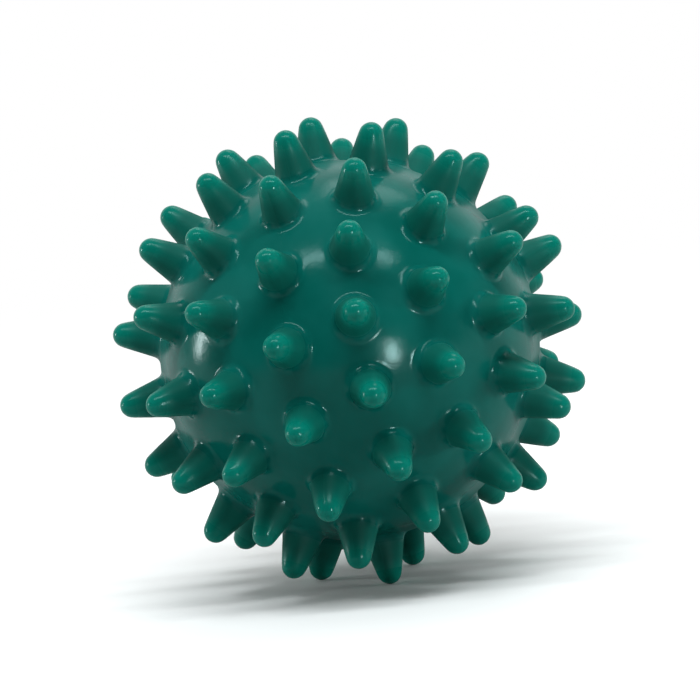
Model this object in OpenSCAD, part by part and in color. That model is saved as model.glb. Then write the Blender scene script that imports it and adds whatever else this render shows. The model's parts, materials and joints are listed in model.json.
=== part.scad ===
// Spiked massage ball: a hollow soft-vinyl ball with rings of blunt spikes and a push-in needle valve.
// Millimetres, +Z up, origin at the centre of the ball, which lies on the tips of three spikes.

/* [Ball] */
// Diameter over the spike tips
ball_d = 70; // [66:1:90]
// Height of a spike above the wall
spike_h = 7; // [5.5:0.25:8]
// Thickness of the hollow wall
wall_t = 3; // [2.5:0.25:4]

/* [Spike] */
// Diameter of a spike's straight flank, carried down to the wall
spike_base_d = 6.5; // [5.8:0.1:6.8]
// Radius of the rounded tip
tip_r = 1.9; // [1.6:0.05:2.2]
// Radius of the fillet at the root
root_r = 1.2; // [0.8:0.1:1.5]

/* [Rings] */
// Spikes on the equator
equator_n = 16; // [13:1:17]
// Spikes on the first ring to either side of the equator
ring_1_n = 16; // [12:1:16]
// Spikes on the second ring
ring_2_n = 12; // [9:1:12]
// Spikes on the third ring, next to the pole
ring_3_n = 8; // [5:1:8]
// Latitude of the first ring, in degrees from the equator
ring_1_lat = 21; // [20:0.5:23]
// Latitude of the second ring, in degrees
ring_2_lat = 42.5; // [41:0.5:46]
// Latitude of the third ring, in degrees
ring_3_lat = 65; // [63:0.5:68]
// Turn of the first ring on the valve side, in degrees
valve_turn_1 = 9; // [0:1:22]
// Turn of the second ring on the valve side, in degrees
valve_turn_2 = 24; // [0:1:30]
// Turn of the third ring on the valve side, in degrees
valve_turn_3 = 11; // [0:1:45]
// Turn of the first ring on the far side, in degrees
far_turn_1 = 17; // [0:1:22]
// Turn of the second ring on the far side, in degrees
far_turn_2 = 1; // [0:1:30]
// Turn of the third ring on the far side, in degrees
far_turn_3 = 44; // [0:1:45]

/* [Valve] */
// Diameter of the seat's neck, which fills the hole in the wall
neck_d = 10; // [9:0.25:11]
// Diameter of the flange fused to the inside of the wall
flange_d = 17; // [14:0.5:20]
// Depth of the flange below the inside of the wall, on the axis
flange_t = 2.2; // [1.9:0.1:3]
// Length of the seat from the outer surface inwards
seat_l = 10; // [8:0.5:12]
// Bore of the seat
seat_bore_d = 5; // [4.5:0.1:5.5]
// Diameter of the stopper's head
head_d = 7.6; // [7:0.1:8]
// Thickness of the stopper's head on the axis
head_t = 1.6; // [1.3:0.1:2]
// Diameter of the guide hole for the pump needle
needle_d = 2.1; // [1.8:0.1:2.4]
// Depth of the guide hole
needle_l = 5; // [4:0.5:6]
// Diameter of the rubber core
seal_d = 3.2; // [2.8:0.1:3.5]
// Width of the slit in the rubber core
slit_w = 0.2; // [0.15:0.05:0.3]

/* [Fits] */
// Radial clearance of the stopper's stem in the seat
stem_clear = 0.05; // [0.02:0.01:0.08]
// Gap round and under the stopper's head
head_clear = 0.2; // [0.1:0.05:0.3]

/* [Lie] */
// First of the two equator spikes that the ball lies on, counted round the equator
foot_spike = 6; // [0:1:12]
// Heading of the ball about the vertical, in degrees
heading = -17; // [-180:0.1:180]

/* [Hidden] */
$fn = 96;
ball_r = ball_d / 2;
wall_r = ball_r - spike_h;
hollow_r = wall_r - wall_t;
spike_base_r = spike_base_d / 2;
head_floor = wall_r - head_t;
stem_d = seat_bore_d - 2 * stem_clear;
stem_end = wall_r - seat_l;
slit_l = 0.7 * seal_d;
cut_past = 1;

// Direction at a latitude and longitude of the ball
function on_ball(lat, lon) = [cos(lat) * cos(lon), cos(lat) * sin(lon), sin(lat)];

// The ball lies on two neighbours of the equator and on the spike of the next ring that stands between them
equator_gap = 360 / equator_n;
ring_1_gap = 360 / ring_1_n;
foot_mid = (foot_spike + 0.5) * equator_gap;
foot_a = on_ball(0, foot_mid - equator_gap / 2);
foot_b = on_ball(0, foot_mid + equator_gap / 2);
foot_c = on_ball(-ring_1_lat, valve_turn_1 + round((foot_mid - valve_turn_1) / ring_1_gap) * ring_1_gap);
foot_cross = cross(foot_b - foot_a, foot_c - foot_a);
floor_side = foot_cross * sign(foot_cross * foot_a) / norm(foot_cross);
floor_lat = asin(floor_side.z);
floor_lon = atan2(floor_side.y, floor_side.x);

// Spike profile: a straight flank, tangent to the circle of the tip and to the fillet of the root
base_z = sqrt(wall_r * wall_r - spike_base_r * spike_base_r);
tip_z = ball_r - tip_r;
flank_l = norm([spike_base_r, base_z - tip_z]);
flank_turn = atan2(base_z - tip_z, spike_base_r) + acos(tip_r / flank_l);
tip_arc_n = 7;
tip_arc = [for (i = [0 : tip_arc_n])
    let (a = flank_turn + (90 - flank_turn) * i / tip_arc_n)
    [i == tip_arc_n ? 0 : tip_r * cos(a), tip_z + tip_r * sin(a)]];

// The fillet leaves the flank where it still has to drop by its own height, and runs into the wall at a low angle
root_angle = 65;
root_arc_n = 5;
root_drop = root_r * (sin(root_angle) - sin(flank_turn));
root_top = [spike_base_r - root_drop * tan(flank_turn), base_z + root_drop];
root_arc = [for (i = [root_arc_n : -1 : 0])
    let (a = flank_turn + (root_angle - flank_turn) * i / root_arc_n)
    root_top + root_r * [cos(flank_turn) - cos(a), sin(flank_turn) - sin(a)]];
root_sink = 0.8;
root_foot = root_arc[0] + root_sink * [tan(root_angle), -1];
spike_profile = concat([[0, root_foot.y], root_foot], root_arc, tip_arc);

vinyl = [0.02, 0.36, 0.29];
stopper_green = [0.02, 0.30, 0.24];
seal_grey = [0.16, 0.16, 0.16];

// Turns the ball from its own axis, valve downwards, to how it lies
module lie() {
    rotate([0, 0, heading])
        rotate([0, 90 + floor_lat, 0])
            rotate([0, 0, -floor_lon])
                children();
}

// Turns the valve, drawn with +Z outwards, to the valve pole
module at_valve() {
    lie()
        rotate([180, 0, 0])
            children();
}

// One spike on +Z, cut to sit on the wall
module spike() {
    difference() {
        rotate_extrude()
            polygon(spike_profile);
        sphere(r = wall_r);
    }
}

// A ring of spikes at one latitude
module ring(lat, count, turn) {
    lie()
        for (i = [0 : count - 1])
            rotate([0, 90 - lat, turn + i * 360 / count])
                spike();
}

module ball_wall() {
    color(vinyl)
        at_valve()
            difference() {
                sphere(r = wall_r);
                sphere(r = hollow_r);
                translate([0, 0, hollow_r - wall_t])
                    cylinder(d = neck_d, h = 3 * wall_t);
            }
}

module spikes_equator() {
    color(vinyl)
        ring(0, equator_n, 0);
}

module spikes_far_1() {
    color(vinyl)
        ring(ring_1_lat, ring_1_n, far_turn_1);
}

module spikes_far_2() {
    color(vinyl)
        ring(ring_2_lat, ring_2_n, far_turn_2);
}

module spikes_far_3() {
    color(vinyl)
        ring(ring_3_lat, ring_3_n, far_turn_3);
}

module spike_far_pole() {
    color(vinyl)
        ring(90, 1, 0);
}

module spikes_valve_1() {
    color(vinyl)
        ring(-ring_1_lat, ring_1_n, valve_turn_1);
}

module spikes_valve_2() {
    color(vinyl)
        ring(-ring_2_lat, ring_2_n, valve_turn_2);
}

module spikes_valve_3() {
    color(vinyl)
        ring(-ring_3_lat, ring_3_n, valve_turn_3);
}

// Flanged bush fused into the hole in the wall
module valve_seat() {
    color(vinyl)
        at_valve()
            difference() {
                union() {
                    intersection() {
                        sphere(r = wall_r);
                        translate([0, 0, stem_end])
                            cylinder(d = neck_d, h = seat_l + cut_past);
                    }
                    intersection() {
                        sphere(r = hollow_r);
                        translate([0, 0, hollow_r - flange_t])
                            cylinder(d = flange_d, h = flange_t + cut_past);
                    }
                }
                translate([0, 0, stem_end - cut_past])
                    cylinder(d = seat_bore_d, h = seat_l + 2 * cut_past);
                translate([0, 0, head_floor - head_clear])
                    cylinder(d = head_d + 2 * head_clear, h = head_t + cut_past);
            }
}

// Push-in stopper with the guide hole for the needle and a pocket for the rubber core
module valve_stopper() {
    color(stopper_green)
        at_valve()
            difference() {
                union() {
                    intersection() {
                        sphere(r = wall_r);
                        translate([0, 0, head_floor])
                            cylinder(d = head_d, h = head_t + cut_past);
                    }
                    translate([0, 0, stem_end])
                        cylinder(d = stem_d, h = seat_l - head_t / 2);
                }
                translate([0, 0, wall_r - needle_l])
                    cylinder(d = needle_d, h = needle_l + cut_past);
                translate([0, 0, stem_end - cut_past])
                    cylinder(d = seal_d, h = seat_l - needle_l + cut_past);
            }
}

// Rubber core with the slit that the needle opens
module needle_seal() {
    color(seal_grey)
        at_valve()
            translate([0, 0, stem_end])
                difference() {
                    cylinder(d = seal_d, h = seat_l - needle_l);
                    translate([-slit_l / 2, -slit_w / 2, -cut_past])
                        cube([slit_l, slit_w, seat_l]);
                }
}

ball_wall();
spikes_equator();
spikes_far_1();
spikes_far_2();
spikes_far_3();
spike_far_pole();
spikes_valve_1();
spikes_valve_2();
spikes_valve_3();
valve_seat();
valve_stopper();
needle_seal();
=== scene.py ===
import json
import math
import random

import bpy
from mathutils import Matrix, Quaternion, Vector


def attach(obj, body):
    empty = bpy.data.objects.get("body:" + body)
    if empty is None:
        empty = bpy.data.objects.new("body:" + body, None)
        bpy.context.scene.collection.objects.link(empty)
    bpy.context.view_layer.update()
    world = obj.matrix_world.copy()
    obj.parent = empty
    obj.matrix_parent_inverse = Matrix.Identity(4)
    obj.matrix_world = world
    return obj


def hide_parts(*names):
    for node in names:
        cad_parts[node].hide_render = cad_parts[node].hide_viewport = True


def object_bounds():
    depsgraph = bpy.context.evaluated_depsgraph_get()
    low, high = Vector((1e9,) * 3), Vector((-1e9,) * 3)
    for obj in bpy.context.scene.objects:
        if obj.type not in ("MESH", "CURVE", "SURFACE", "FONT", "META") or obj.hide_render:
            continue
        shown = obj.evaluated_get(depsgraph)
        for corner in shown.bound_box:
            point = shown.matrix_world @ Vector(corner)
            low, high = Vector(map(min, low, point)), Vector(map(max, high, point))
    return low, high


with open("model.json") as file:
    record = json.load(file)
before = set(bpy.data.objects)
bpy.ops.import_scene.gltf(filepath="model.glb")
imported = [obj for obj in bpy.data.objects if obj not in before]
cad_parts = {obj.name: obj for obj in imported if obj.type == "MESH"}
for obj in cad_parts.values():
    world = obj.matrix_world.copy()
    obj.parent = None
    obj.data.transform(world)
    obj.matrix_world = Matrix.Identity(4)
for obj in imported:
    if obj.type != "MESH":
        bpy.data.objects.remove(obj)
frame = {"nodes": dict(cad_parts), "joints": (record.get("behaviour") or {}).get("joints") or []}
cad_low, cad_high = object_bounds()
bpy.ops.object.select_all(action="DESELECT")

# VINYL SKIN
# The hollow ball and all its spikes are one casting of soft dark-green vinyl, about 3 mm thick.
# It leaves a two-part mould warm, so roots are filleted, tips are round and no two spikes are quite alike.

BALL_R = 0.035
WALL_R = 0.028
HOLLOW_R = 0.025
SPIKE_BASE_R = 0.00325
TIP_R = 0.0019
ROOT_R = 0.0013
SPIKE_SIDES = 16
ARC_STEPS = 4
SEED_R = 0.0001
SAME_PLACE = 0.00001
MERGE_WITHIN = 0.000002
VALVE_AXIS = Vector(frame["joints"][0]["axis"]).normalized()
TO_VALVE = VALVE_AXIS.to_track_quat("Z", "Y").to_matrix().to_4x4()


def turned(name, outline, sides):
    """Draws an outline of (radius, height) points as a chain of edges and spins it round the Z axis."""
    bpy.ops.object.select_all(action="DESELECT")
    bpy.ops.mesh.primitive_circle_add(vertices=3, radius=SEED_R, location=(0, 0, 0))
    piece = bpy.context.object
    piece.name = piece.data.name = name
    bpy.ops.object.mode_set(mode="EDIT")
    bpy.ops.mesh.select_mode(type="VERT")
    bpy.ops.mesh.select_all(action="SELECT")
    bpy.ops.mesh.merge(type="CENTER")
    here = Vector((0, 0, 0))
    for step, (radius, height) in enumerate(outline):
        move = Vector((radius, 0, height)) - here
        here += move
        if step == 0:
            bpy.ops.transform.translate(value=move)
        else:
            bpy.ops.mesh.extrude_region_move(TRANSFORM_OT_translate={"value": move})
    bpy.ops.mesh.select_all(action="SELECT")
    bpy.ops.mesh.spin(steps=sides, angle=2 * math.pi, center=(0, 0, 0), axis=(0, 0, 1))
    bpy.ops.mesh.select_all(action="SELECT")
    bpy.ops.mesh.remove_doubles(threshold=MERGE_WITHIN)
    bpy.ops.mesh.normals_make_consistent(inside=False)
    bpy.ops.object.mode_set(mode="OBJECT")
    return piece


def arc(centre, radius, start, end, steps):
    """Points on a circle, from one angle in degrees to another, both ends included."""
    angles = [math.radians(start + (end - start) * i / steps) for i in range(steps + 1)]
    return [(centre[0] + radius * math.cos(a), centre[1] + radius * math.sin(a)) for a in angles]


# The tip is drawn a little full, because subdivision draws it in again.
TIP_FULL = 1.01


def spike_outline():
    """Half section of a spike from the foot of its fillet, on the wall, to its tip on the axis."""
    base_z = math.sqrt(WALL_R**2 - SPIKE_BASE_R**2)
    tip_z = BALL_R - TIP_R
    flank = math.hypot(SPIKE_BASE_R, base_z - tip_z)
    lean = math.atan2(base_z - tip_z, SPIKE_BASE_R) + math.acos(TIP_R / flank)
    out = Vector((math.cos(lean), math.sin(lean)))
    up = Vector((-math.sin(lean), math.cos(lean)))
    beside = Vector((SPIKE_BASE_R, base_z)) + ROOT_R * out
    along = beside.dot(up)
    rise = -along + math.sqrt(along**2 - beside.length_squared + (WALL_R + ROOT_R) ** 2)
    root = beside + rise * up
    to_wall = math.degrees(math.atan2(-root.y, -root.x)) % 360
    to_flank = 180 + math.degrees(lean)
    fillet = arc(root, ROOT_R, to_wall, to_flank, ARC_STEPS)
    tip = arc((0, tip_z), TIP_R * TIP_FULL, math.degrees(lean), 90, ARC_STEPS)
    middle = tuple((Vector(fillet[-1]) + Vector(tip[0])) / 2)
    return fillet + [middle] + tip[:-1] + [(0, tip[-1][1])]


def spike_tips():
    """Directions of all spikes, each read once from the apex of a CAD spike."""
    found = {}
    for name, node in sorted(frame["nodes"].items()):
        if name.startswith("spike"):
            for vertex in node.data.vertices:
                if vertex.co.length > BALL_R - SAME_PLACE:
                    found.setdefault(tuple(round(c, 4) for c in vertex.co), vertex.co.normalized())
    return [found[key] for key in sorted(found)]


spike = turned("spike", spike_outline(), SPIKE_SIDES)
tips = spike_tips()

LEAN_LEAST = 0.00006
LEAN_MOST = 0.00030
LEAN_CURVE = 1.5
BOX_ROOM = 0.0007


def free_of_box(tip):
    """True where a spike ends far enough inside the CAD box to lean and still stay in it."""
    end = tip * BALL_R
    return all(low + BOX_ROOM < c < high - BOX_ROOM for c, low, high in zip(end, cad_low, cad_high))


# Each spike is a copy of the first one, turned to its place, with a slight lean of its own.
chance = random.Random(7)
skin_parts = []
for tip in tips:
    copy = spike.copy()
    copy.data = spike.data.copy()
    bpy.context.collection.objects.link(copy)
    spun = Matrix.Rotation(chance.uniform(0, 2 * math.pi), 3, "Z")
    turn = tip.to_track_quat("Z", "Y").to_matrix() @ spun
    heading = chance.uniform(0, 2 * math.pi)
    amount = chance.uniform(LEAN_LEAST, LEAN_MOST)
    sideways = Vector((math.cos(heading), math.sin(heading), 0)) * amount
    if free_of_box(tip):
        for vertex in copy.data.vertices:
            height = max(0, (vertex.co.z - WALL_R) / (BALL_R - WALL_R))
            vertex.co += sideways * height**LEAN_CURVE
    copy.data.transform(turn.to_4x4())
    skin_parts.append(copy)
bpy.data.objects.remove(spike)

# The mouth that the valve seat fills is a ring of edges on the wall.
MOUTH_R = 0.005
MOUTH_SIDES = 32
mouth_z = math.sqrt(WALL_R**2 - MOUTH_R**2)
bpy.ops.object.select_all(action="DESELECT")
bpy.ops.mesh.primitive_circle_add(vertices=MOUTH_SIDES, radius=MOUTH_R, location=(0, 0, mouth_z))
mouth = bpy.context.object
bpy.ops.object.transform_apply(location=True, rotation=True, scale=True)
mouth.data.transform(TO_VALVE)
skin_parts.append(mouth)

# Loose points between the feet keep the wall's faces even.
FOOT_R = spike_outline()[0][0]
FOOT_CLEAR = 0.0008
MOUTH_CLEAR = 0.0010
WALL_DETAIL = 5


def pick(piece, wanted):
    """Opens a piece in edit mode with those points selected whose place passes a test."""
    bpy.context.view_layer.objects.active = piece
    bpy.ops.object.mode_set(mode="EDIT")
    bpy.ops.mesh.select_mode(type="VERT")
    bpy.ops.mesh.select_all(action="DESELECT")
    bpy.ops.object.mode_set(mode="OBJECT")
    for vertex in piece.data.vertices:
        vertex.select = wanted(vertex.co)
    bpy.ops.object.mode_set(mode="EDIT")


def near_a_foot(co):
    """True for a point of the wall that lies on or close round a spike or the mouth."""
    if VALVE_AXIS.angle(co) * WALL_R < MOUTH_R + MOUTH_CLEAR:
        return True
    return min(tip.angle(co) for tip in tips) * WALL_R < FOOT_R + FOOT_CLEAR


bpy.ops.object.select_all(action="DESELECT")
bpy.ops.mesh.primitive_ico_sphere_add(subdivisions=WALL_DETAIL, radius=WALL_R, location=(0, 0, 0))
between = bpy.context.object
pick(between, near_a_foot)
bpy.ops.mesh.delete(type="VERT")
bpy.ops.mesh.select_all(action="SELECT")
bpy.ops.mesh.delete(type="EDGE_FACE")
bpy.ops.object.mode_set(mode="OBJECT")
skin_parts.append(between)

# All of it becomes one mesh, and a hull over the feet of the spikes makes the wall between them.
for part in skin_parts:
    part.select_set(True)
bpy.context.view_layer.objects.active = mouth
bpy.ops.object.join()
skin = bpy.context.object
skin.name = skin.data.name = "vinyl_skin"
stands = tips + [VALVE_AXIS]
RING_SLACK = 0.0001


def on_wall(co):
    return abs(co.length - WALL_R) < SAME_PLACE


def is_cap(ends):
    """True for a face that closes a spike's foot or the mouth: all its corners lie on that one ring."""
    if not all(on_wall(co) for co in ends):
        return False
    own = max(stands, key=lambda stand: stand.dot(ends[0]))
    reach = MOUTH_R if own is VALVE_AXIS else FOOT_R
    return all(own.cross(co).length < reach + RING_SLACK for co in ends)


pick(skin, on_wall)
bpy.ops.mesh.convex_hull(delete_unused=False, use_existing_faces=False, join_triangles=False)
bpy.ops.mesh.select_mode(type="FACE")
bpy.ops.mesh.select_all(action="DESELECT")
bpy.ops.object.mode_set(mode="OBJECT")
for polygon in skin.data.polygons:
    polygon.select = is_cap([skin.data.vertices[i].co for i in polygon.vertices])
bpy.ops.object.mode_set(mode="EDIT")
bpy.ops.mesh.delete(type="FACE")

# The mouth's rim turns in through the wall and meets the hollow inside.
RIM_DEPTH = 0.0003
HOLLOW_RINGS = 24
HOLLOW_CLEAR = 0.0004


def open_edges():
    """Selects the edges that have a face on one side only."""
    bpy.ops.mesh.select_mode(type="EDGE")
    bpy.ops.mesh.select_all(action="DESELECT")
    bpy.ops.mesh.select_non_manifold(
        extend=False,
        use_wire=False,
        use_multi_face=False,
        use_non_contiguous=False,
        use_verts=False,
    )


open_edges()
wall_depth = mouth_z - math.sqrt(HOLLOW_R**2 - MOUTH_R**2)
for depth in (RIM_DEPTH, wall_depth - RIM_DEPTH):
    bpy.ops.mesh.extrude_region_move(TRANSFORM_OT_translate={"value": -depth * VALVE_AXIS})
bpy.ops.mesh.select_all(action="SELECT")
bpy.ops.mesh.normals_make_consistent(inside=False)
bpy.ops.object.mode_set(mode="OBJECT")
bpy.ops.object.select_all(action="DESELECT")
bpy.ops.mesh.primitive_uv_sphere_add(
    segments=MOUTH_SIDES, ring_count=HOLLOW_RINGS, radius=HOLLOW_R, location=(0, 0, 0)
)
hollow = bpy.context.object
pick(hollow, lambda co: co.z > 0 and co.xy.length < MOUTH_R + HOLLOW_CLEAR)
bpy.ops.mesh.delete(type="VERT")
bpy.ops.mesh.select_all(action="SELECT")
bpy.ops.mesh.flip_normals()
bpy.ops.object.mode_set(mode="OBJECT")
hollow.data.transform(TO_VALVE)
skin.select_set(True)
bpy.context.view_layer.objects.active = skin
bpy.ops.object.join()
bpy.ops.object.mode_set(mode="EDIT")
open_edges()
bpy.ops.mesh.bridge_edge_loops()
bpy.ops.mesh.select_all(action="SELECT")
bpy.ops.mesh.remove_doubles(threshold=MERGE_WITHIN)
bpy.ops.object.mode_set(mode="OBJECT")

# One level of subdivision rounds the fillets and tips, and the wall goes back to a true ball.
WALL_SAG = 0.0008
RIM_W = 0.0003
smooth = skin.modifiers.new("smooth", "SUBSURF")
smooth.levels = smooth.render_levels = 1
bpy.ops.object.modifier_apply(modifier=smooth.name)
for vertex in skin.data.vertices:
    on_valve_side = vertex.co.dot(VALVE_AXIS) > 0
    in_rim = on_valve_side and VALVE_AXIS.cross(vertex.co).length < MOUTH_R + RIM_W
    if WALL_R - WALL_SAG < vertex.co.length < WALL_R + SAME_PLACE and not in_rim:
        vertex.co *= WALL_R / vertex.co.length
bpy.ops.object.shade_smooth()


class Wire:
    """One output of a shader node. Sums on wires add the Math nodes that work them out."""

    def __init__(self, tree, socket=None):
        self.tree, self.socket = tree, socket

    def node(self, kind, settings, inputs, out=0):
        """Adds a node. Its settings are set first, and its sockets then take numbers, colours or wires."""
        made = self.tree.nodes.new("ShaderNode" + kind)
        for key, value in settings.items():
            setattr(made, key, value)
        for key, value in inputs.items():
            if isinstance(value, Wire):
                self.tree.links.new(value.socket, made.inputs[key])
            else:
                made.inputs[key].default_value = value
        return Wire(self.tree, made.outputs[out])

    def maths(self, operation, *values):
        return self.node("Math", {"operation": operation}, dict(enumerate(values)))

    def __add__(self, other):
        return self.maths("ADD", self, other)

    __radd__ = __add__

    def __sub__(self, other):
        return self.maths("SUBTRACT", self, other)

    def __rsub__(self, other):
        return self.maths("SUBTRACT", other, self)

    def __mul__(self, other):
        return self.maths("MULTIPLY", self, other)

    __rmul__ = __mul__

    def between(self, low, high):
        """0 below one value, 1 above another, and a smooth step from one to the other."""
        limits = {"Value": self, "From Min": low, "From Max": high}
        return self.node("MapRange", {"interpolation_type": "SMOOTHSTEP"}, limits)

    def noise(self, scale, detail, roughness):
        grain = {"Vector": self, "Scale": scale, "Detail": detail, "Roughness": roughness}
        return self.node("TexNoise", {}, grain)

    def mix(self, first, second):
        """A colour from one to the other by this wire."""
        return self.node("Mix", {"data_type": "RGBA"}, {0: self, 6: first, 7: second}, 2)


def new_finish(name):
    """A bare material and the socket of its surface."""
    finish = bpy.data.materials.new(name)
    finish.use_nodes = True
    finish.node_tree.nodes.clear()
    output = finish.node_tree.nodes.new("ShaderNodeOutputMaterial")
    return finish, Wire(finish.node_tree), output.inputs["Surface"]


VINYL = (0.0014, 0.121, 0.098, 1)
VINYL_DEEP = (0.0009, 0.102, 0.082, 1)
VINYL_SHADED_SPIKE = (0.0008, 0.110, 0.083, 1)
VINYL_LIT_TIP = (0.0012, 0.178, 0.132, 1)
VINYL_BLOOM_WEAR_SHEEN = (0.026, 0.170, 0.150, 1)
VINYL_GLEAM = (0.66, 1, 1, 1)
BLOOM_SHEEN_MOST = 0.18
RUB_MOST = 0.06
PARTING_W = 0.00004
PARTING_EDGE = 0.00016
VINYL_RELIEF = 0.00012

vinyl, start, surface = new_finish("green_vinyl")
place = start.node("TexCoord", {}, {}, "Object")
out_from_centre = place.node("VectorMath", {"operation": "LENGTH"}, {0: place}, "Value")
up_spike = out_from_centre.between(WALL_R, BALL_R)
cloud = place.noise(85, 3.0, 0.55)
peel = place.noise(900, 2.0, 0.5)
pores = place.noise(5200, 3.0, 0.6)
batch = cloud.between(0.32, 0.68).mix(VINYL_DEEP, VINYL)
flank = up_spike.between(0.01, 0.14) * (1 - up_spike.between(0.4, 1.0))
# The spikes are a darker green, painted shade on their flanks, and a lighter green towards the tips,
# painted light where the tips catch the lamps.
shaded_spike_colour = up_spike.between(0.0, 0.15).mix(batch, VINYL_SHADED_SPIKE)
lit_tip_colour = up_spike.between(0.4, 1.0).mix(shaded_spike_colour, VINYL_LIT_TIP)
# Near the wall a pale grey-green haze is mixed in, in patches: partly a bloom of the vinyl, partly painted
# reflection, the grey sheen of the wall's gloss.
bloom_and_sheen = (1 - up_spike.between(0.0, 0.25)) * cloud.between(0.40, 0.75) * BLOOM_SHEEN_MOST
# Rubbed wear on the tips takes the same pale colour.
rubbed = up_spike.between(0.86, 1.0) * pores.between(0.42, 0.62) * RUB_MOST
colour = (bloom_and_sheen + rubbed).mix(lit_tip_colour, VINYL_BLOOM_WEAR_SHEEN)
off_equator = place.node("VectorMath", {"operation": "DOT_PRODUCT"}, {0: place, 1: VALVE_AXIS}, "Value")
parting = 1 - off_equator.maths("ABSOLUTE", off_equator).between(PARTING_W, PARTING_EDGE)
relief = peel * 0.45 + pores * 0.16 + parting * 0.55
bump = start.node("Bump", {}, {"Strength": 0.35, "Distance": VINYL_RELIEF, "Height": relief})

# Seen edge-on the gloss softens, so that low lamps draw no hard white rim.
edge_on = start.node("LayerWeight", {}, {"Blend": 0.5}, "Facing").between(0.62, 0.97)
gloss = 0.10 + cloud * 0.08 + flank * 0.40 + rubbed * 0.80 + pores * 0.04 + edge_on * 0.40
shader = start.node(
    "BsdfPrincipled",
    {},
    {
        "Base Color": colour,
        "Roughness": gloss,
        "Normal": bump,
        "IOR": 1.5,
        "Specular IOR Level": 0.12,
        "Specular Tint": VINYL_GLEAM,
    },
)
vinyl.node_tree.links.new(shader.socket, surface)
skin.data.materials.clear()
skin.data.materials.append(vinyl)
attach(skin, "ball")
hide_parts("ball_wall", *[name for name in frame["nodes"] if name.startswith("spike")])

# VALVE SEAT
# A flanged bush of the same soft vinyl, moulded apart and fused into the hole in the wall.
# Its flange lies on the inside of the wall, and its mouth is recessed to take the stopper's head flush.

VALVE_SIDES = 64
SEAT_L = 0.0100
VALVE_END = WALL_R - SEAT_L
SEAT_FIT = 0.00003
NECK_R = MOUTH_R - SEAT_FIT
SEAT_BORE_R = 0.0025
RECESS_R = 0.0040
RECESS_DEPTH = 0.0018
RECESS_Z = WALL_R - RECESS_DEPTH
FLANGE_R = 0.0085
FLANGE_T = 0.0022
FLANGE_Z = HOLLOW_R - FLANGE_T
SEAT_EDGE = 0.00018
EDGE_STEPS = 3
EDGE_FROM = math.radians(30)


def on_sphere(sphere_r, radius):
    """A point of a half section where a sphere round the ball's centre has that radius."""
    return (radius, math.sqrt(sphere_r**2 - radius**2))


def at_valve(piece, edge):
    """Rounds a turned piece's edges, shades it smooth and stands it on the valve's axis."""
    bpy.ops.object.select_all(action="DESELECT")
    piece.select_set(True)
    bpy.context.view_layer.objects.active = piece
    soften = piece.modifiers.new("soften", "BEVEL")
    soften.width, soften.segments = edge, EDGE_STEPS
    soften.limit_method, soften.angle_limit = "ANGLE", EDGE_FROM
    bpy.ops.object.modifier_apply(modifier=soften.name)
    bpy.ops.object.shade_smooth()
    piece.data.transform(TO_VALVE)


def off_axis(place):
    """Distance of a point from the valve's axis."""
    across = place.node("VectorMath", {"operation": "CROSS_PRODUCT"}, {0: place, 1: VALVE_AXIS})
    return across.node("VectorMath", {"operation": "LENGTH"}, {0: across}, "Value")


seat_section = [
    (SEAT_BORE_R, VALVE_END),
    (NECK_R, VALVE_END),
    (NECK_R, FLANGE_Z),
    (FLANGE_R, FLANGE_Z),
    on_sphere(HOLLOW_R - SEAT_FIT, FLANGE_R),
    on_sphere(HOLLOW_R - SEAT_FIT, NECK_R),
    on_sphere(WALL_R, NECK_R),
    on_sphere(WALL_R, RECESS_R),
    (RECESS_R, RECESS_Z),
    (SEAT_BORE_R, RECESS_Z),
    (SEAT_BORE_R, VALVE_END),
]
seat = turned("valve_seat_bush", seat_section, VALVE_SIDES)
at_valve(seat, SEAT_EDGE)

SEAT_GREEN = (0.0020, 0.100, 0.076, 1)
SEAT_DARK = (0.0010, 0.040, 0.031, 1)
SEAT_RUBBED = (0.020, 0.150, 0.125, 1)
LIP_W = 0.0003
RECESS_DARK_W = 0.0008
SEAT_RELIEF = 0.00006

seat_vinyl, start, surface = new_finish("seat_vinyl")
place = start.node("TexCoord", {}, {}, "Object")
from_axis = off_axis(place)
haze = place.noise(260, 3.0, 0.55)
grain = place.noise(3800, 3.0, 0.6)
past_recess = from_axis.between(RECESS_R - 0.00005, RECESS_R + 0.0001)
lip = past_recess * (1 - from_axis.between(RECESS_R + LIP_W, NECK_R))
# Darker and rougher inside the recess, in patches.
in_recess = 1 - from_axis.between(RECESS_R - RECESS_DARK_W, RECESS_R - 0.0001)
darker_in_recess = in_recess * haze.between(0.30, 0.70) * 0.55
worn = (lip * grain.between(0.40, 0.65) * 0.45).mix(SEAT_GREEN, SEAT_RUBBED)
colour = darker_in_recess.mix(worn, SEAT_DARK)
relief = haze * 0.4 + grain * 0.3
bump = start.node("Bump", {}, {"Strength": 0.3, "Distance": SEAT_RELIEF, "Height": relief})
gloss = 0.36 + haze * 0.12 + darker_in_recess * 0.25 + grain * 0.06
shader = start.node(
    "BsdfPrincipled",
    {},
    {"Base Color": colour, "Roughness": gloss, "Normal": bump, "IOR": 1.5, "Specular IOR Level": 0.16},
)
seat_vinyl.node_tree.links.new(shader.socket, surface)
seat.data.materials.append(seat_vinyl)
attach(seat, "ball")
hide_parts("valve_seat")

# VALVE STOPPER
# A push-in plug of firmer green plastic, moulded in one, with a guide hole for the pump needle.
# Its stem is gripped by the seat, its domed head lies flush with the wall, and it pulls straight out.

HEAD_R = 0.0038
HEAD_T = 0.0016
HEAD_Z = WALL_R - HEAD_T
STEM_CLEAR = 0.00005
STEM_R = SEAT_BORE_R - STEM_CLEAR
STEM_LEAD = 0.0004
NEEDLE_R = 0.00105
NEEDLE_L = 0.0050
NEEDLE_Z = WALL_R - NEEDLE_L
MOUTH_FLARE = 0.0004
POCKET_R = 0.0016
STOPPER_EDGE = 0.00012

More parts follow.
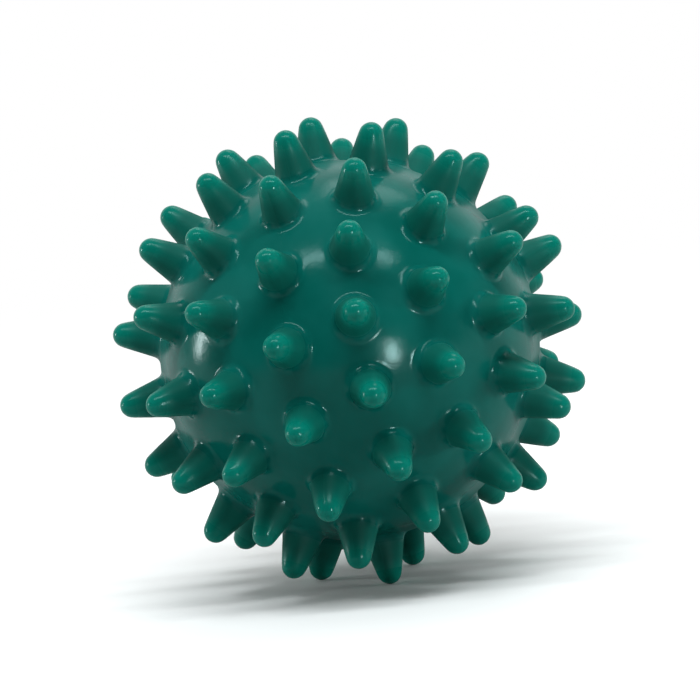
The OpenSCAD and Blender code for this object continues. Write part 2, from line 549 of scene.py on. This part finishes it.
stopper_section = [
    (POCKET_R, VALVE_END),
    (STEM_R - STEM_LEAD, VALVE_END),
    (STEM_R, VALVE_END + 2 * STEM_LEAD),
    (STEM_R, HEAD_Z),
    (HEAD_R, HEAD_Z),
    on_sphere(WALL_R, HEAD_R),
    on_sphere(WALL_R, (HEAD_R + NEEDLE_R) / 2),
    on_sphere(WALL_R, NEEDLE_R + MOUTH_FLARE),
    (NEEDLE_R, WALL_R - MOUTH_FLARE),
    (NEEDLE_R, NEEDLE_Z),
    (POCKET_R, NEEDLE_Z),
    (POCKET_R, VALVE_END),
]
stopper = turned("stopper_plug", stopper_section, VALVE_SIDES)
at_valve(stopper, STOPPER_EDGE)

STOPPER_GREEN = (0.0018, 0.072, 0.055, 1)
STOPPER_DARK = (0.0008, 0.020, 0.016, 1)
STOPPER_RUBBED = (0.018, 0.115, 0.095, 1)
HEAD_RIM_W = 0.0005
NEEDLE_DARK_W = 0.0006
STOPPER_RELIEF = 0.00005

plug_plastic, start, surface = new_finish("plug_plastic")
place = start.node("TexCoord", {}, {}, "Object")
from_axis = off_axis(place)
haze = place.noise(320, 3.0, 0.55)
grain = place.noise(4600, 3.0, 0.6)
rim = from_axis.between(HEAD_R - HEAD_RIM_W, HEAD_R) * grain.between(0.38, 0.66) * 0.5
# Darker and rougher in the needle hole and round its mouth.
darker_in_recess = (1 - from_axis.between(NEEDLE_R, NEEDLE_R + NEEDLE_DARK_W)) * (0.45 + haze * 0.5)
worn = rim.mix(STOPPER_GREEN, STOPPER_RUBBED)
colour = darker_in_recess.mix(worn, STOPPER_DARK)
relief = haze * 0.35 + grain * 0.35
bump = start.node("Bump", {}, {"Strength": 0.3, "Distance": STOPPER_RELIEF, "Height": relief})
gloss = 0.34 + haze * 0.12 + rim * 0.25 + darker_in_recess * 0.2
shader = start.node(
    "BsdfPrincipled",
    {},
    {"Base Color": colour, "Roughness": gloss, "Normal": bump, "IOR": 1.5, "Specular IOR Level": 0.2},
)
plug_plastic.node_tree.links.new(shader.socket, surface)
stopper.data.materials.append(plug_plastic)
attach(stopper, "stopper")
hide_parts("valve_stopper")

# NEEDLE SEAL
# A small core of black rubber pressed into the stopper's stem, slit right through.
# The slit parts for the pump needle and closes behind it.

SEAL_FIT = 0.00001
SEAL_R = POCKET_R - SEAL_FIT
SEAL_L = NEEDLE_Z - VALVE_END
SEAL_SIDES = 48
SLIT_L = 0.00224
SLIT_W = 0.0002
BLADE_L = 1.4 * SEAL_L

seal_section = [(0, VALVE_END), (SEAL_R, VALVE_END), (SEAL_R, NEEDLE_Z), (0, NEEDLE_Z)]
seal = turned("seal_core", seal_section, SEAL_SIDES)
seal_middle = (0, 0, VALVE_END + SEAL_L / 2)
bpy.ops.object.select_all(action="DESELECT")
bpy.ops.mesh.primitive_cube_add(size=1, location=seal_middle, scale=(SLIT_L, SLIT_W, BLADE_L))
blade = bpy.context.object
bpy.ops.object.transform_apply(location=True, rotation=True, scale=True)
bpy.context.view_layer.objects.active = seal
slit = seal.modifiers.new("slit", "BOOLEAN")
slit.object, slit.operation, slit.solver = blade, "DIFFERENCE", "EXACT"
bpy.ops.object.modifier_apply(modifier=slit.name)
bpy.data.objects.remove(blade)
seal.data.transform(TO_VALVE)

RUBBER = (0.012, 0.012, 0.012, 1)
RUBBER_TALC = (0.075, 0.075, 0.072, 1)
RUBBER_RELIEF = 0.00004

core_rubber, start, surface = new_finish("core_rubber")
place = start.node("TexCoord", {}, {}, "Object")
talc = place.noise(900, 3.0, 0.6)
grain = place.noise(7000, 2.0, 0.6)
colour = (talc.between(0.45, 0.75) * grain.between(0.40, 0.60) * 0.6).mix(RUBBER, RUBBER_TALC)
relief = talc * 0.3 + grain * 0.4
bump = start.node("Bump", {}, {"Strength": 0.4, "Distance": RUBBER_RELIEF, "Height": relief})
shader = start.node(
    "BsdfPrincipled",
    {},
    {"Base Color": colour, "Roughness": 0.55 + talc * 0.25, "Normal": bump, "Specular IOR Level": 0.35},
)
core_rubber.node_tree.links.new(shader.socket, surface)
seal.data.materials.append(core_rubber)
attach(seal, "stopper")
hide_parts("needle_seal")

# STAGE
# A pale floor under the spikes, a white room, five soft boxes and the camera.
# The floor keeps the ball's shadow close by and turns white further out.

FLOOR_SIZE = 30
SHADOW_R = 0.08
WHITE_R = 0.32
FLOOR_SEEN = (0.92, 0.92, 0.92, 1)
FLOOR_LIT = (0.55, 0.55, 0.55, 1)
WHITE = (1, 1, 1, 1)

bpy.ops.object.select_all(action="DESELECT")
bpy.ops.mesh.primitive_plane_add(size=FLOOR_SIZE, location=(0, 0, cad_low.z))
ground = bpy.context.object
ground.name = "floor"
paper, start, surface = new_finish("pale_paper")
place = start.node("TexCoord", {}, {}, "Object")
away = place.node("VectorMath", {"operation": "LENGTH"}, {0: place}, "Value")
seen = start.node("LightPath", {}, {}, "Is Camera Ray")
mirrored = start.node("LightPath", {}, {}, "Is Glossy Ray")
through = start.node("LightPath", {}, {}, "Is Transmission Ray")
seen_plain = start.node("BsdfDiffuse", {}, {"Color": FLOOR_SEEN})
lit_plain = start.node("BsdfDiffuse", {}, {"Color": FLOOR_LIT})
plain = start.node("MixShader", {}, {0: seen, 1: lit_plain, 2: seen_plain})
white = start.node("Emission", {}, {"Color": WHITE, "Strength": 1.0})
far = away.between(SHADOW_R, WHITE_R) * (seen + mirrored + through)
both = start.node("MixShader", {}, {0: far, 1: plain, 2: white})
paper.node_tree.links.new(both.socket, surface)
ground.data.materials.append(paper)

# The camera sees a white room. Its back wall lights the ball and shows in the gloss, and its front is dim.
ROOM_LIGHT = 0.09
BACK_WALL_LIGHT = 1.15

world = bpy.data.worlds.new("studio")
bpy.context.scene.world = world
world.use_nodes = True
world.node_tree.nodes.clear()
air = Wire(world.node_tree)
way = air.node("TexCoord", {}, {}, "Generated")
behind = air.node("SeparateXYZ", {}, {0: way}, "Y")
seen = air.node("LightPath", {}, {}, "Is Camera Ray")
mirrored = air.node("LightPath", {}, {}, "Is Glossy Ray")
through = air.node("LightPath", {}, {}, "Is Transmission Ray")
room = air.node("Background", {}, {"Color": WHITE, "Strength": ROOM_LIGHT})
back_wall = air.node("Background", {}, {"Color": WHITE, "Strength": BACK_WALL_LIGHT})
bright = air.node("Background", {}, {"Color": WHITE, "Strength": 1.0})
from_behind = behind.between(-0.35, 0.45) * (1 - mirrored)
lit = air.node("MixShader", {}, {0: from_behind, 1: room, 2: back_wall})
shown = seen + (mirrored + through) * behind.between(0.3, 0.9)
backdrop = air.node("MixShader", {}, {0: shown, 1: lit, 2: bright})
world_out = world.node_tree.nodes.new("ShaderNodeOutputWorld")
world.node_tree.links.new(backdrop.socket, world_out.inputs["Surface"])


def soft_box(name, place, size, watts, colour, lights=True, glints=True):
    """A lamp aimed at the ball. It can be left out of the plain light or out of the gloss."""
    lamp = bpy.data.lights.new(name, "AREA")
    lamp.shape, lamp.size, lamp.size_y = "RECTANGLE", size[0], size[1]
    lamp.energy, lamp.color = watts, colour
    holder = bpy.data.objects.new(name, lamp)
    bpy.context.collection.objects.link(holder)
    holder.location = place
    holder.rotation_mode = "QUATERNION"
    holder.rotation_quaternion = (-Vector(place)).to_track_quat("-Z", "Y")
    holder.visible_diffuse, holder.visible_glossy = lights, glints


soft_box("overhead", (-0.02, -0.32, 0.84), (1.00, 0.12), 7.6, (0.93, 0.99, 1))
soft_box("beside", (0.37, -0.80, 0.07), (0.07, 0.16), 3.3, (1, 1, 1), lights=False)
soft_box("left", (-0.85, 0.20, 0.10), (0.08, 0.15), 1.5, (1, 1, 1))
soft_box("right", (0.82, -0.14, 0.00), (0.30, 0.30), 4.2, (1, 1, 1), glints=False)
soft_box("back", (0.15, 0.45, 0.75), (0.40, 0.30), 1.0, (1, 1, 1))

# The camera stands a little above the ball, far off with a long lens, and is rolled a few degrees.
ELEVATION = math.radians(9.1)
ROLL = math.radians(-6.2)
DISTANCE = 0.86
FOCAL_MM = 300

lens = bpy.data.cameras.new("camera")
lens.lens = FOCAL_MM
lens.clip_start, lens.clip_end = 0.01, 100
camera = bpy.data.objects.new("camera", lens)
bpy.context.collection.objects.link(camera)
to_camera = Vector((0, -math.cos(ELEVATION), math.sin(ELEVATION)))
camera.location = to_camera * DISTANCE
camera.rotation_mode = "QUATERNION"
camera.rotation_quaternion = (-to_camera).to_track_quat("-Z", "Y") @ Quaternion((0, 0, 1), ROLL)
bpy.context.scene.camera = camera
bpy.context.scene.view_settings.view_transform = "Standard"
